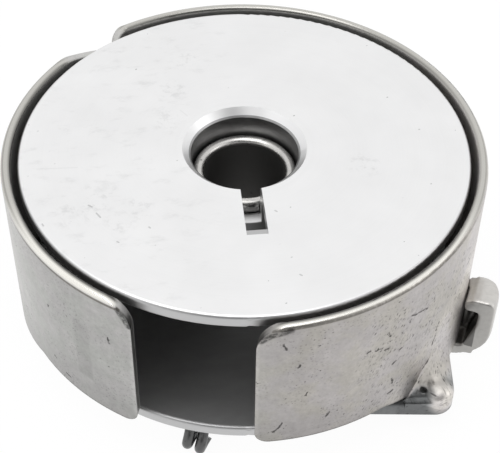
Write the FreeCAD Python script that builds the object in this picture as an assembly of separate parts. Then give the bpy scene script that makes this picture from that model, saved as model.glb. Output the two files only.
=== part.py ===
"""Bobbin case of a sewing machine with its large bobbin inside, open side up.

The steel cup carries a hollow stud that the bobbin turns on. Its wall has a wide front
window, and the lower front of the wall is relieved so that the bobbin's lower flange shows.
A sprung latch slides under the floor and is worked by a flip lever with a curled finger tab.
A leaf spring on the rear of the wall brakes the thread, and a wire pigtail guides it.
The origin is on the stud's axis, in the floor's outer face. Lengths are in millimetres.
"""
import FreeCAD, Part
import math
import os

Vector = FreeCAD.Vector
ORIGIN = Vector(0, 0, 0)
UP = Vector(0, 0, 1)

# Bobbin
bobbin_radius = 16.0
bobbin_height = 12.55
flange_thickness = 1.0
flange_edge = 0.28
hub_wall = 0.95
hub_corner = 0.3
bore_mouth = 0.57
slot_width = 1.45
slot_reach = 8.75
slot_depth = 2.9
slot_azimuth = 276.0
ledge_length = 0.55
ledge_depth = 0.15

# Hollow stud in the middle of the case
stud_bore_radius = 2.92
stud_wall = 0.84
stud_lip = 0.4
stud_below_bobbin = 2.0
bobbin_running_clearance = 0.09

# Cup of the case
wall_thickness = 0.7
flange_clearance = 0.45
floor_thickness = 1.25
bobbin_end_clearance = 0.1
rim_rise = 0.15
rim_round = 0.33
cup_corner = 0.35
cup_inner_corner = 0.3

# Front window and the relief under it
window_azimuth = 259.1
window_width = 8.1
window_top_corner = 2.0
window_bottom_corner = 1.0
relief_height = 2.35
relief_half_width = 12.3
relief_run_per_rise = 2.07
floor_front_inset = 2.8

# Position finger at the floor's front right
finger_front_inset = 4.2
finger_width = 5.0
finger_tip_inset = 2.05
finger_tip_round = 1.4
finger_edge_round = 0.6
nub_radius = 0.95
nub_inset = 0.15
shoulder_front = 1.3
shoulder_height = 3.2
shoulder_azimuth = 322.5
finger_eye_azimuth = 317.6
finger_eye_radius = 0.42
finger_eye_rise = 0.25

# Thread notch in the rim and the slit that leads under the tension spring
notch_azimuth = 138.0
notch_depth = 1.45
notch_ramp_start = 2.4
notch_ramp_end = -1.7
notch_ramp_round = 8.0
notch_steep_side = -3.0
notch_corner = 1.4
slit_width = 0.5
slit_drop = 4.1
slit_end = 1.5
slit_eye_radius = 0.5

# Tension leaf spring and its two screws
leaf_azimuth = 151.5
leaf_half_length = 7.4
leaf_width = 4.4
leaf_free_end_width = 3.0
leaf_thickness = 0.35
leaf_height = 6.8
leaf_corner = 0.8
fixing_screw_azimuth = 167.0
tension_screw_azimuth = 152.5
screw_head_radius = 1.45
screw_head_height = 0.85
screw_head_round = 0.2
screw_slot_width = 0.4
screw_slot_depth = 0.4
screw_shank_radius = 0.8
screw_end_inset = 0.1
screw_running_clearance = 0.05
leaf_hole_clearance = 0.15

# Latch slide under the floor
latch_azimuth = -17.5
latch_travel = 1.7
slide_thickness = 0.72
slide_half_width = 5.5
slide_lip = 0.5
slide_lip_height = 0.34
slide_clearance = 0.08
slide_outer_inset = 4.55
slide_hinge_inset = 2.65
slide_hole_clearance = 0.15
channel_depth = 0.8
fork_half_width = 2.5

# Coil spring that pushes the slide out
spring_radius = 0.45
spring_wire = 0.16
spring_turns = 5
spring_wire_sides = 8
spring_end_wall = 1.5
spring_length = 3.4
spring_side_clearance = 0.15
spring_stop_length = 0.6

# Flip lever, its hinge and its curled finger tab
lever_thickness = 1.2
lever_clearance = 0.05
lever_ring_radius = 5.3
lever_hole_radius = 3.5
hinge_inset = 4.55
knuckle_radius = 0.9
knuckle_half_width = 2.45
hinge_pin_radius = 0.4
hinge_running_clearance = 0.04
hinge_side_clearance = 0.1
hinge_ear_thickness = 0.8
hinge_ear_corner = 0.7
toe_length = 1.5
toe_thickness = 0.8
toe_stop_clearance = 0.1
toe_stop_length = 1.2
strap_width = 2.7
strap_neck_inset = 6.15
tab_depth = 2.27
tab_height = 5.1
tab_lower_bend = 1.3
tab_lower_round = 3.4
tab_upper_bend = 0.2
tab_shoulder_round = 0.7
tab_end_round = 0.25
tab_far_corner = 1.4
tab_near_corner = 0.4
tab_web_thickness = 0.8
tab_step_run = 0.4
tab_step_depth = 0.25
tab_wall_gap = 0.1
serration_count = 6
serration_spacing = 0.37
serration_radius = 0.13
serration_length = 0.6

# Wire pigtail at the front
guide_azimuth = 259.0
guide_wire_radius = 0.4
guide_loop_radius = 0.8
guide_pitch = 0.95
guide_turns = 1.62
guide_tilt = 20.0
guide_standoff = 1.7
guide_drop = 0.62
guide_leg_depth = 1.6

# Cutting tools run past the metal by these lengths
cutter_overrun = 1.0
cutter_reach = 5.0

# Sizes that follow from the ones above
stud_radius = stud_bore_radius + stud_wall
bobbin_bore_radius = stud_radius + bobbin_running_clearance
hub_radius = bobbin_bore_radius + hub_wall
bobbin_bottom = floor_thickness + bobbin_end_clearance
bobbin_top = bobbin_bottom + bobbin_height
stud_top = bobbin_top - stud_below_bobbin
case_inner_radius = bobbin_radius + flange_clearance
case_radius = case_inner_radius + wall_thickness
case_height = bobbin_top + rim_rise
leaf_radius = case_radius + leaf_thickness
floor_front_radius = bobbin_radius - floor_front_inset
finger_front = case_radius - finger_front_inset
finger_reach = case_radius - finger_tip_inset
channel_half_width = slide_half_width + slide_clearance
slide_bottom = (channel_depth - slide_thickness) / 2
slide_top = slide_bottom + slide_thickness
lip_bottom = slide_top - slide_lip_height
slide_hole_radius = stud_radius + slide_hole_clearance
slide_outer_end = case_radius - slide_outer_inset
slide_hinge_end = case_radius - slide_hinge_inset
spring_seat = slide_outer_end - spring_end_wall - spring_length
hinge_position = case_radius - hinge_inset
lever_top = -lever_clearance
lever_bottom = lever_top - lever_thickness
pin_height = lever_top - knuckle_radius
toe_top = pin_height + toe_length
strap_neck = case_radius - strap_neck_inset
tab_end = case_radius + tab_wall_gap
tab_reach = tab_end + tab_depth
guide_reach = floor_front_radius + guide_standoff
beyond = case_radius + cutter_reach


def rounded_wire(corners, place):
    """Closed outline through corners (u, v, radius), each corner rounded by its own arc."""
    count = len(corners)
    starts = []
    ends = []
    middles = []
    for index, (u, v, radius) in enumerate(corners):
        here = Vector(u, v, 0)
        before = Vector(corners[index - 1][0], corners[index - 1][1], 0) - here
        after = Vector(corners[(index + 1) % count][0], corners[(index + 1) % count][1], 0) - here
        before.normalize()
        after.normalize()
        half = before.getAngle(after) / 2
        run = radius / math.tan(half) if radius else 0.0
        starts.append(here + before * run)
        ends.append(here + after * run)
        bisector = before + after
        if radius:
            bisector.normalize()
        middles.append(here + bisector * (radius / math.sin(half) - radius) if radius else here)
    edges = []
    for index, (u, v, radius) in enumerate(corners):
        start = place(starts[index].x, starts[index].y)
        end = place(ends[index].x, ends[index].y)
        middle = place(middles[index].x, middles[index].y)
        following = starts[(index + 1) % count]
        if radius:
            edges.append(Part.Arc(start, middle, end).toShape())
        target = place(following.x, following.y)
        if (target - end).Length > 1e-6:
            edges.append(Part.LineSegment(end, target).toShape())
    return Part.Wire(Part.__sortEdges__(edges))


def turned(corners):
    """Solid of revolution about the stud's axis from corners (radius, height, rounding)."""
    wire = rounded_wire(corners, lambda u, v: Vector(u, 0, v))
    return Part.Face(wire).revolve(ORIGIN, UP, 360)


def radial_prism(corners, azimuth, inner, outer):
    """Outline (sideways, height, rounding) drawn on the wall and pushed out along the azimuth."""
    wire = rounded_wire(corners, lambda u, v: Vector(inner, u, v))
    prism = Part.Face(wire).extrude(Vector(outer - inner, 0, 0))
    return prism.rotated(ORIGIN, UP, azimuth)


def plate(corners, bottom, top):
    """Flat plate from a plan outline (x, y, rounding)."""
    wire = rounded_wire(corners, lambda u, v: Vector(u, v, bottom))
    return Part.Face(wire).extrude(Vector(0, 0, top - bottom))


def strip(corners, half_width):
    """Side outline (x, height, rounding) given an even width across the latch's length."""
    wire = rounded_wire(corners, lambda u, v: Vector(u, -half_width, v))
    return Part.Face(wire).extrude(Vector(0, 2 * half_width, 0))


def block(x_low, x_high, y_low, y_high, bottom, top):
    """Box between two corners."""
    return Part.makeBox(x_high - x_low, y_high - y_low, top - bottom, Vector(x_low, y_low, bottom))


def drum(radius, bottom, top):
    """Upright cylinder on the stud's axis."""
    return Part.makeCylinder(radius, top - bottom, Vector(0, 0, bottom))


def at_latch(shape):
    """Turns a piece from the latch's own line to its place under the floor."""
    return shape.rotated(ORIGIN, UP, latch_azimuth)


def cross_pin(radius, half_length):
    """Cylinder along the latch's hinge line."""
    start = Vector(-hinge_position, -half_length, pin_height)
    return Part.makeCylinder(radius, 2 * half_length, start, Vector(0, 1, 0))


def make_bobbin():
    """Turned aluminium spool: two flanges on a hub, with a keyhole slot in the upper flange."""
    lower_inside = bobbin_bottom + flange_thickness
    upper_inside = bobbin_top - flange_thickness
    spool = turned([
        (bobbin_bore_radius, bobbin_bottom + bore_mouth, 0),
        (bobbin_bore_radius + bore_mouth, bobbin_bottom, 0),
        (bobbin_radius, bobbin_bottom, flange_edge),
        (bobbin_radius, lower_inside, flange_edge),
        (hub_radius, lower_inside, hub_corner),
        (hub_radius, upper_inside, hub_corner),
        (bobbin_radius, upper_inside, flange_edge),
        (bobbin_radius, bobbin_top, flange_edge),
        (bobbin_bore_radius + bore_mouth, bobbin_top, 0),
        (bobbin_bore_radius, bobbin_top - bore_mouth, 0),
    ])
    half = slot_width / 2
    above = bobbin_top + cutter_overrun
    through = block(0, slot_reach - ledge_length, -half, half, upper_inside - hub_corner, above)
    hub_cut = block(0, hub_radius + hub_corner, -half, half, bobbin_top - slot_depth, above)
    ledge = block(0, slot_reach, -half, half, bobbin_top - ledge_depth, above)
    slot = through.fuse([hub_cut, ledge]).removeSplitter()
    return spool.cut(slot.rotated(ORIGIN, UP, slot_azimuth))


def make_stud():
    """Hollow stud with a fully rounded lip."""
    return turned([
        (stud_bore_radius, 0, 0),
        (stud_radius, 0, 0),
        (stud_radius, stud_top, stud_lip),
        (stud_bore_radius, stud_top, stud_lip),
    ])


def window_cut():
    """Front window, from the rim down to the relief, leaving rounded corners on the panels."""
    half = window_width / 2
    above = case_height + cutter_overrun
    below = relief_height - cutter_overrun
    top_flare = half + window_top_corner
    bottom_flare = half + window_bottom_corner
    corners = [
        (-bottom_flare, below, 0),
        (bottom_flare, below, 0),
        (bottom_flare, relief_height, 0),
        (half, relief_height, window_bottom_corner),
        (half, case_height, window_top_corner),
        (top_flare, case_height, 0),
        (top_flare, above, 0),
        (-top_flare, above, 0),
        (-top_flare, case_height, 0),
        (-half, case_height, window_top_corner),
        (-half, relief_height, window_bottom_corner),
        (-bottom_flare, relief_height, 0),
    ]
    return radial_prism(corners, window_azimuth, bobbin_radius / 2, beyond)


def relief_cut():
    """Space under the wall's lower front edge, outside the floor's smaller front radius."""
    below = -cutter_overrun
    foot = relief_half_width + relief_run_per_rise * (relief_height - below)
    corners = [
        (-foot, below, 0),
        (foot, below, 0),
        (relief_half_width, relief_height, 0),
        (-relief_half_width, relief_height, 0),
    ]
    wedge = radial_prism(corners, window_azimuth, 0.0, beyond)
    return wedge.cut(drum(floor_front_radius, below, floor_thickness))


def notch_cut():
    """Thread notch in the rim: a long ramp on one side and a steep rounded side on the other."""
    above = case_height + cutter_overrun
    low = case_height - notch_depth
    ramp_side = notch_ramp_start + notch_ramp_round / 2
    corners = [
        (ramp_side, above, 0),
        (ramp_side, case_height, 0),
        (notch_ramp_start, case_height, notch_ramp_round),
        (notch_ramp_end, low, 0),
        (notch_steep_side, low, 0),
        (notch_steep_side, case_height, notch_corner),
        (notch_steep_side - notch_corner, case_height, 0),
        (notch_steep_side - notch_corner, above, 0),
    ]
    return radial_prism(corners, notch_azimuth, bobbin_radius / 2, beyond)


def slit_cut():
    """Narrow slanted slit from the notch down to a round eye under the tension spring."""
    top = case_height - notch_depth + slit_width
    bottom = case_height - notch_depth - slit_drop
    start = (notch_ramp_end + notch_steep_side) / 2
    half = slit_width / 2
    corners = [
        (start - half, top, 0),
        (start + half, top, 0),
        (slit_end + half, bottom, 0),
        (slit_end - half, bottom, 0),
    ]
    slit = radial_prism(corners, notch_azimuth, bobbin_radius / 2, beyond)
    eye = Part.makeCylinder(slit_eye_radius, beyond, Vector(0, slit_end, bottom), Vector(1, 0, 0))
    return slit.fuse(eye.rotated(ORIGIN, UP, notch_azimuth))


def screw_hole(azimuth, radius):
    """Cross hole through the wall for a screw."""
    start = Vector(case_inner_radius - wall_thickness, 0, leaf_height)
    hole = Part.makeCylinder(radius, beyond, start, Vector(1, 0, 0))
    return hole.rotated(ORIGIN, UP, azimuth)


def channel_cut():
    """Undercut channel in the floor's outer face that guides the latch slide."""
    end = slide_outer_end + 2 * slide_clearance
    mouth = block(-beyond, end, -channel_half_width, channel_half_width, -cutter_overrun, channel_depth)
    wide = channel_half_width + slide_lip
    undercut = block(-beyond, end, -wide, wide, lip_bottom - slide_clearance / 2, channel_depth)
    side = spring_radius + spring_side_clearance
    groove_end = spring_seat + spring_length + spring_side_clearance
    groove_top = slide_bottom + 2 * spring_radius + spring_side_clearance
    groove = block(spring_seat, groove_end, -side, side, 0, groove_top)
    return at_latch(mouth.fuse([undercut, groove]))


def latch_stops():
    """Two lugs on the channel's roof: one for the lever's toe, one for the coil spring."""
    roof = (channel_depth + floor_thickness) / 2
    toe_face = -hinge_position + toe_thickness / 2 + toe_stop_clearance
    half = fork_half_width - 2 * hinge_side_clearance
    toe_stop = block(toe_face, toe_face + toe_stop_length, -half, half, slide_bottom, roof)
    half = spring_radius
    spring_stop = block(spring_seat - spring_stop_length, spring_seat, -half, half, slide_bottom, roof)
    return [at_latch(toe_stop), at_latch(spring_stop)]


def make_finger():
    """Position finger: a tongue of the floor that stands out beside the wall."""
    back = -finger_front + finger_width
    inside = floor_front_radius / 3
    corners = [
        (inside, -finger_front, 0),
        (finger_reach, -finger_front, finger_tip_round),
        (finger_reach, back, finger_tip_round),
        (inside, back, 0),
    ]
    tongue = plate(corners, 0, floor_thickness)
    rim = [edge for edge in tongue.Edges if edge.BoundBox.ZMin > floor_thickness - 1e-6
           and edge.BoundBox.XMax > inside + 1e-6]
    return tongue.makeFillet(finger_edge_round, rim)


def make_nub():
    """Rounded bar along the finger's end: it leaves the wall and ends in a ball at the finger's front."""
    across = finger_reach - nub_inset - nub_radius
    tip = Vector(across, nub_radius - finger_front, nub_radius)
    bar = Part.makeCylinder(nub_radius, finger_width, tip, Vector(0, 1, 0))
    bar = bar.fuse(Part.makeSphere(nub_radius, tip))
    inside = drum(case_inner_radius + wall_thickness / 2, -beyond, beyond)
    return bar.cut(inside).removeSplitter()


def make_shoulder():
    """Sloping shoulder that carries the finger's end up into the wall."""
    foot = floor_thickness / 2
    end = finger_reach - nub_inset
    inner = finger_reach - finger_width / 2
    front = shoulder_front - finger_front
    back = finger_width - finger_front
    turn = math.radians(shoulder_azimuth)
    top_x = (case_radius - wall_thickness / 4) * math.cos(turn)
    top_y = (case_radius - wall_thickness / 4) * math.sin(turn)
    low = [(inner, front), (end, front), (end, back), (inner, back), (inner, front)]
    high = [(inner, top_y), (top_x, top_y), (end, back), (inner, back), (inner, top_y)]
    outlines = [
        Part.makePolygon([Vector(x, y, foot) for x, y in low]),
        Part.makePolygon([Vector(x, y, shoulder_height) for x, y in high]),
    ]
    inside = drum(case_inner_radius + wall_thickness / 2, -beyond, beyond)
    return Part.makeLoft(outlines, True, True).cut(inside)


def finger_eye():
    """Small hole through the wall in the corner over the finger's root."""
    start = Vector(case_inner_radius - wall_thickness, 0, floor_thickness + finger_eye_rise)
    eye = Part.makeCylinder(finger_eye_radius, beyond, start, Vector(1, 0, 0))
    return eye.rotated(ORIGIN, UP, finger_eye_azimuth)


def make_case():
    """Cup with its window, relief, thread notch, latch channel and position finger."""
    cup = turned([
        (0, 0, 0),
        (case_radius, 0, cup_corner),
        (case_radius, case_height, rim_round),
        (case_inner_radius, case_height, rim_round),
        (case_inner_radius, floor_thickness, cup_inner_corner),
        (0, floor_thickness, 0),
    ])
    cup = cup.cut([relief_cut(), window_cut(), notch_cut(), slit_cut()])
    cup = cup.fuse([make_finger(), make_nub(), make_shoulder()])
    cup = cup.cut([channel_cut(), drum(stud_radius, -cutter_overrun, floor_thickness + cutter_overrun)])
    cup = cup.fuse(latch_stops())
    cup = cup.cut([
        finger_eye(),
        screw_hole(fixing_screw_azimuth, screw_shank_radius),
        screw_hole(tension_screw_azimuth, screw_shank_radius + screw_running_clearance),
    ])
    return cup.removeSplitter()


def make_leaf():
    """Tension spring: a curved leaf lying on the wall, narrower at its free end."""
    half = leaf_width / 2
    free_half = leaf_free_end_width / 2
    corners = [
        (-leaf_half_length, leaf_height - free_half, leaf_corner),
        (leaf_half_length, leaf_height - half, leaf_corner),
        (leaf_half_length, leaf_height + half, leaf_corner),
        (-leaf_half_length, leaf_height + free_half, leaf_corner),
    ]
    low = leaf_height - leaf_width
    high = leaf_height + leaf_width
    skin = drum(leaf_radius, low, high).cut(drum(case_radius, low, high))
    leaf = skin.common(radial_prism(corners, leaf_azimuth, bobbin_radius / 2, beyond))
    hole = screw_shank_radius + leaf_hole_clearance
    return leaf.cut([screw_hole(fixing_screw_azimuth, hole), screw_hole(tension_screw_azimuth, hole)])


def make_screw(azimuth, seat):
    """Slotted cheese head screw with its shank ending inside the wall."""
    start = case_inner_radius + screw_end_inset
    outward = Vector(1, 0, 0)
    shank = Part.makeCylinder(screw_shank_radius, seat - start, Vector(start, 0, leaf_height), outward)
    head = Part.makeCylinder(screw_head_radius, screw_head_height, Vector(seat, 0, leaf_height), outward)
    outer = seat + screw_head_height
    crown = [edge for edge in head.Edges if edge.BoundBox.XMin > outer - 1e-6]
    head = head.makeFillet(screw_head_round, crown)
    half = screw_slot_width / 2
    reach = 2 * screw_head_radius
    slot = block(outer - screw_slot_depth, outer + cutter_overrun, -reach, reach,
                 leaf_height - half, leaf_height + half)
    return shank.fuse(head).cut(slot).removeSplitter().rotated(ORIGIN, UP, azimuth)


def make_slide():
    """Latch slide: a lipped plate round the stud, forked at the hinge, with a spring window."""
    half = slide_half_width
    body = block(-slide_hinge_end, slide_outer_end, -half, half, slide_bottom, slide_top)
    wide = half + slide_lip
    lips = block(-slide_hinge_end, slide_outer_end, -wide, wide, lip_bottom, slide_top)
    ear_inner = knuckle_half_width + hinge_side_clearance
    ear_outer = ear_inner + hinge_ear_thickness
    ear_side = [
        (-hinge_position - knuckle_radius, pin_height - knuckle_radius, hinge_ear_corner),
        (-hinge_position + knuckle_radius, pin_height - knuckle_radius, hinge_ear_corner),
        (-hinge_position + knuckle_radius, slide_top, 0),
        (-hinge_position - knuckle_radius, slide_top, 0),
    ]
    ears = strip(ear_side, ear_outer).cut(strip(ear_side, ear_inner))
    slide = body.fuse([lips, ears])
    low = slide_bottom - cutter_overrun
    high = slide_top + cutter_overrun
    hole = drum(slide_hole_radius, low, high)
    travelled = hole.translated(Vector(latch_travel, 0, 0))
    between = block(0, latch_travel, -slide_hole_radius, slide_hole_radius, low, high)
    toe_stop_end = -hinge_position + toe_thickness / 2 + toe_stop_clearance + toe_stop_length
    fork_end = toe_stop_end + latch_travel + 2 * hinge_side_clearance
    fork = block(-beyond, fork_end, -fork_half_width, fork_half_width, low, high)
    side = spring_radius + spring_side_clearance
    seat_start = spring_seat - spring_stop_length - hinge_side_clearance
    spring_window = block(seat_start, spring_seat + spring_length, -side, side, low, high)
    pin_hole = cross_pin(hinge_pin_radius, beyond)
    slide = slide.cut([hole, travelled, between, fork, spring_window, pin_hole])
    return at_latch(slide.removeSplitter())


def make_hinge_pin():
    """Hinge pin held in the slide's ears."""
    half = knuckle_half_width + hinge_side_clearance + hinge_ear_thickness
    return at_latch(cross_pin(hinge_pin_radius, half))


def make_latch_spring():
    """Small coil spring between the floor's lug and the slide, its fine wire drawn eight-sided."""
    coil = spring_radius - spring_wire / 2
    pitch = (spring_length - spring_wire) / spring_turns
    path = Part.makeHelix(pitch, spring_length - spring_wire, coil)
    turn = 2 * math.pi / spring_wire_sides
    points = []
    for index in range(spring_wire_sides + 1):
        angle = turn * (index % spring_wire_sides)
        points.append(Vector(coil + spring_wire / 2 * math.cos(angle), 0, spring_wire / 2 * math.sin(angle)))
    section = Part.makePolygon(points)
    helix = Part.Wire(path).makePipeShell([section], True, True)
    helix.rotate(ORIGIN, Vector(0, 1, 0), 90)
    centre = slide_bottom + spring_radius
    helix.translate(Vector(spring_seat + spring_wire / 2, 0, centre))
    return at_latch(Part.Solid(helix) if helix.ShapeType != "Solid" else helix)


def make_tab():
    """Curled finger tab: bent up beside the wall and back over, closed at its far side, serrated on top."""
    half = strap_width / 2
    inner_reach = tab_reach - lever_thickness
    underside = tab_height - lever_thickness
    outer = [
        (strap_neck, lever_bottom, 0),
        (tab_reach, lever_bottom, tab_lower_round),
        (tab_reach, tab_height, tab_shoulder_round),
        (tab_end, tab_height, tab_end_round),
    ]
    curl = strip(outer + [
        (tab_end, underside, tab_end_round),
        (inner_reach, underside, tab_upper_bend),
        (inner_reach, lever_top, tab_lower_bend),
        (strap_neck, lever_top, 0),
    ], half)
    web_half = tab_web_thickness / 2
    web = strip(outer + [(tab_end, lever_top, 0), (strap_neck, lever_top, 0)], web_half)
    tab = curl.fuse(web.translated(Vector(0, half - web_half, 0))).removeSplitter()
    outline = plate([
        (strap_neck, -half, 0),
        (tab_reach, -half, tab_near_corner),
        (tab_reach, half, tab_far_corner),
        (strap_neck, half, 0),
    ], lever_bottom, tab_height)
    tab = tab.common(outline)
    step_end = tab_end + tab_step_run
    step = block(tab_end - cutter_overrun, step_end, -strap_width, strap_width,
                 tab_height - tab_step_depth, tab_height + cutter_overrun)
    grooves = []
    for index in range(serration_count):
        across = (index - (serration_count - 1) / 2) * serration_spacing
        start = Vector(step_end - serration_radius, across, tab_height)
        grooves.append(Part.makeCylinder(serration_radius, serration_length, start, Vector(1, 0, 0)))
    return tab.cut([step] + grooves)


def make_lever():
    """Flip lever: a ring round the stud, a hinged arm with a toe, and a strap with a curled tab."""
    half = knuckle_half_width
    arm = block(-hinge_position, 0, -half, half, lever_bottom, lever_top)
    ring = drum(lever_ring_radius, lever_bottom, lever_top)
    strap_half = strap_width / 2
    neck = plate([
        (0, -lever_ring_radius, 0),
        (lever_ring_radius / 2, -lever_ring_radius, 2 * strap_width),
        (strap_neck, -strap_half, 2 * strap_width),
        (strap_neck + strap_width, -strap_half, 0),
        (strap_neck + strap_width, strap_half, 0),
        (strap_neck, strap_half, 2 * strap_width),
        (lever_ring_radius / 2, lever_ring_radius, 2 * strap_width),
        (0, lever_ring_radius, 0),
    ], lever_bottom, lever_top)
    knuckle = cross_pin(knuckle_radius, half)
    toe_half = toe_thickness / 2
    toe_side = fork_half_width - 2 * hinge_side_clearance
    toe = block(-hinge_position - toe_half, -hinge_position + toe_half, -toe_side, toe_side,
                pin_height, toe_top)
    lever = ring.fuse([arm, neck, make_tab(), knuckle, toe])
    hole = drum(lever_hole_radius, lever_bottom - cutter_overrun, lever_top + cutter_overrun)
    lever = lever.cut([hole, cross_pin(hinge_pin_radius + hinge_running_clearance, beyond)])
    return at_latch(lever.removeSplitter())


def make_guide():
    """Wire pigtail: a leg set in the floor's edge and a loop of nearly two turns in front of it."""
    height = guide_pitch * guide_turns
    path = Part.makeHelix(guide_pitch, height, guide_loop_radius)
    section = Part.Wire(Part.makeCircle(guide_wire_radius, Vector(guide_loop_radius, 0, 0), Vector(0, 1, 0)))
    loop = Part.Wire(path).makePipeShell([section], True, True)
    loop = Part.Solid(loop) if loop.ShapeType != "Solid" else loop
    loop.rotate(ORIGIN, Vector(1, 0, 0), -90)
    loop.rotate(ORIGIN, Vector(0, 1, 0), -90)
    centre_height = guide_drop - guide_loop_radius
    loop.translate(Vector(guide_reach, -height / 2, centre_height))
    loop.rotate(Vector(guide_reach, -height / 2, guide_drop), Vector(1, 0, 0), -guide_tilt)
    leg_start = floor_front_radius - guide_leg_depth
    leg = Part.makeCylinder(guide_wire_radius, guide_reach - leg_start,
                            Vector(leg_start, -height / 2, guide_drop), Vector(1, 0, 0))
    return loop.fuse(leg).rotated(ORIGIN, UP, guide_azimuth)


def leg_hole():
    """Hole in the floor's front edge for the pigtail's leg."""
    height = guide_pitch * guide_turns
    start = Vector(floor_front_radius - guide_leg_depth, -height / 2, guide_drop)
    hole = Part.makeCylinder(guide_wire_radius, beyond, start, Vector(1, 0, 0))
    return hole.rotated(ORIGIN, UP, guide_azimuth)


tension_seat = leaf_radius + screw_running_clearance
pieces = {
    "case_cup": make_case().cut(leg_hole()),
    "center_stud": make_stud(),
    "bobbin": make_bobbin(),
    "latch_slide": make_slide(),
    "latch_hinge_pin": make_hinge_pin(),
    "latch_spring": make_latch_spring(),
    "latch_lever": make_lever(),
    "tension_spring": make_leaf(),
    "tension_screw": make_screw(tension_screw_azimuth, tension_seat),
    "spring_fixing_screw": make_screw(fixing_screw_azimuth, leaf_radius),
    "thread_guide": make_guide(),
}

os.makedirs("parts", exist_ok=True)
for name, shape in pieces.items():
    shape.exportStep("parts/" + name + ".step")
    print(name, "solids", len(shape.Solids), "volume", round(shape.Volume, 3), "valid", shape.isValid())
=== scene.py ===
# %% [markdown]
# # A bobbin case with its bobbin
# The imported model gives every solid of the case, already in its right place and in metres. This lesson
# dresses those solids: it gives each one a finish made of shader nodes, adds three small forms that are
# easier to shape here, and then sets up the studio. The box of the bare model is kept first, and the floor
# is later placed just under it.

# %% Load the imported model
import math

import bmesh
import bpy
from mathutils import Matrix, Vector


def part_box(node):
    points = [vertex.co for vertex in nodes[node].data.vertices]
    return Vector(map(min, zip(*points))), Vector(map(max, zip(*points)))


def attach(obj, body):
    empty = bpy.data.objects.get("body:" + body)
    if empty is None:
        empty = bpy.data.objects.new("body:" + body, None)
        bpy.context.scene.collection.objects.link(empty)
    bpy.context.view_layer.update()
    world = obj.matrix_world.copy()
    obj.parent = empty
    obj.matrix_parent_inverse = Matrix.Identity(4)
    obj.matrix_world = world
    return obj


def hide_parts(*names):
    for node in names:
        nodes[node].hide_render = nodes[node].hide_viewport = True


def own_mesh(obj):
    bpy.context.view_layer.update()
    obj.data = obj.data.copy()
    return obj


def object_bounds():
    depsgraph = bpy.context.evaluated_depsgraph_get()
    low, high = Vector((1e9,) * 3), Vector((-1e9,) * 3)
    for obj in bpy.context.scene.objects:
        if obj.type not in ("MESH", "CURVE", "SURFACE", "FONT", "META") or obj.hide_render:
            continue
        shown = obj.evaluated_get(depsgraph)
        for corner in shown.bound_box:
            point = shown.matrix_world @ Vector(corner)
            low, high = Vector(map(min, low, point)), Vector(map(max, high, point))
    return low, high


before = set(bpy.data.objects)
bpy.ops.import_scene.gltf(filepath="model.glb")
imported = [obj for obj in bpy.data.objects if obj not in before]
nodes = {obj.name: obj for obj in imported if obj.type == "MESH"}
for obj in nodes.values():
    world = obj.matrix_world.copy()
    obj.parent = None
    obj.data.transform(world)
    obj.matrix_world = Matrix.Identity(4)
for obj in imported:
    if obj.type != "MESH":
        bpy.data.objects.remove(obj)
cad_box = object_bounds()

MM = 0.001
print("nodes:", ", ".join(sorted(nodes)))

# %% [markdown]
# ## Sizes that the finishes need
# A finish that knows where the rim or the bore is can put its wear in the right place. The sizes are read
# from the imported solids and not typed in, so they follow the model when it changes. Only what a box can't
# show is given: the thickness of a flange, the stud's wall and the direction of the latch.

# %% Sizes in millimetres
def span(name):
    """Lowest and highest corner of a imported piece, in millimetres."""
    low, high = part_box(name)
    return Vector(low) / MM, Vector(high) / MM


CASE_TOP = span("case_cup")[1].z
CASE_RADIUS = -span("case_cup")[0].x
BOBBIN_LOW, BOBBIN_TOP = (corner.z for corner in span("bobbin"))
FLANGE_RADIUS = span("bobbin")[1].x
FLANGE_THICKNESS = 1.0
LATCH_AZIMUTH = math.radians(-17.5)
STUD_TOP = span("center_stud")[1].z
STUD_RADIUS = span("center_stud")[1].x
STUD_WALL = 0.84
print("case", round(CASE_RADIUS, 2), "x", round(CASE_TOP, 2), "bobbin", round(FLANGE_RADIUS, 2))

# %% [markdown]
# ## Shader maths that reads like maths
# A finish is a tree of nodes, and drawing each Math node by hand hides what is being worked out. A small
# class that wraps one socket can take Python's own operators instead, so that `1 - mask` adds the node it
# stands for. Numbers on the left of an operator need the reflected forms, which is why each operator
# appears twice.

# %% A socket that takes part in sums
class Wire:
    """One output socket of a finish, ready for sums with numbers and with other sockets."""

    def __init__(self, finish, socket):
        self.finish = finish
        self.socket = socket

    def other(self, output):
        """Another output of the same node."""
        return Wire(self.finish, self.socket.node.outputs[output])

    def sum_with(self, operation, *values):
        return self.finish.node("Math", {"operation": operation}, dict(enumerate(values)))

    def __add__(self, other):
        return self.sum_with("ADD", self, other)

    def __radd__(self, other):
        return self.sum_with("ADD", other, self)

    def __sub__(self, other):
        return self.sum_with("SUBTRACT", self, other)

    def __rsub__(self, other):
        return self.sum_with("SUBTRACT", other, self)

    def __mul__(self, other):
        return self.sum_with("MULTIPLY", self, other)

    def __rmul__(self, other):
        return self.sum_with("MULTIPLY", other, self)

    def __truediv__(self, other):
        return self.sum_with("DIVIDE", self, other)

    def __rtruediv__(self, other):
        return self.sum_with("DIVIDE", other, self)

    def __pow__(self, other):
        return self.sum_with("POWER", self, other)

    def __rpow__(self, other):
        return self.sum_with("POWER", other, self)

    def __abs__(self):
        return self.sum_with("ABSOLUTE", self)

    def smallest(self, other):
        return self.sum_with("MINIMUM", self, other)

    def largest(self, other):
        return self.sum_with("MAXIMUM", self, other)


print("operators ready")

# %% [markdown]
# ## One method for every other node
# Textures, mixes and the shader itself differ only in their type, their settings and what goes into their
# sockets. One method takes those three things. Settings are set before the sockets are filled, because a
# Mix node only shows the colour sockets once its data type is a colour. The helpers after it are the ones
# that every finish here needs: places in millimetres, smooth steps, noise and colour mixing. A colour is
# kept as a tint times a tone, so wear can work on the tone with plain sums.

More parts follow.
